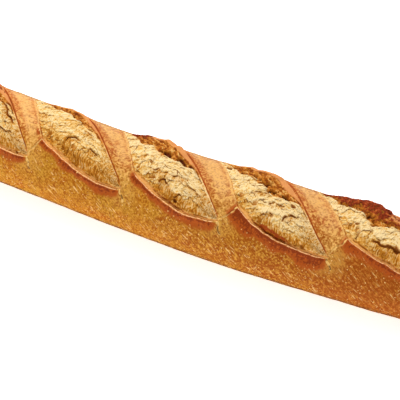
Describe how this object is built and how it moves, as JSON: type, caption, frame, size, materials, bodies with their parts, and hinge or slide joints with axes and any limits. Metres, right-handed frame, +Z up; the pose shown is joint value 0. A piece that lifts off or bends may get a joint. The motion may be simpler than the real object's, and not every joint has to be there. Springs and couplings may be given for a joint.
{
  "type": "baguette",
  "caption": "Long crusty bread loaf on a flat base, with slanted slashes across its crown that opened into torn crumb, low lips and raised ears.",
  "frame": {"origin": "middle of the flat base, at the height of the surface that the loaf lies on", "axes": "+X along the loaf, +Z up out of the crown, and -Y towards the side where the slashes' low lips are"},
  "size_m": [0.5692, 0.0745, 0.0549],
  "materials": {
    "crust": "matte golden brown bread crust, with pale cream torn crumb in the slashes and dark red-brown edges",
    "crumb": "matte pale cream torn crumb, cracked and flaky"
  },
  "bodies": {
    "root": {"loaf": "crust"}
  },
  "joints": []
}
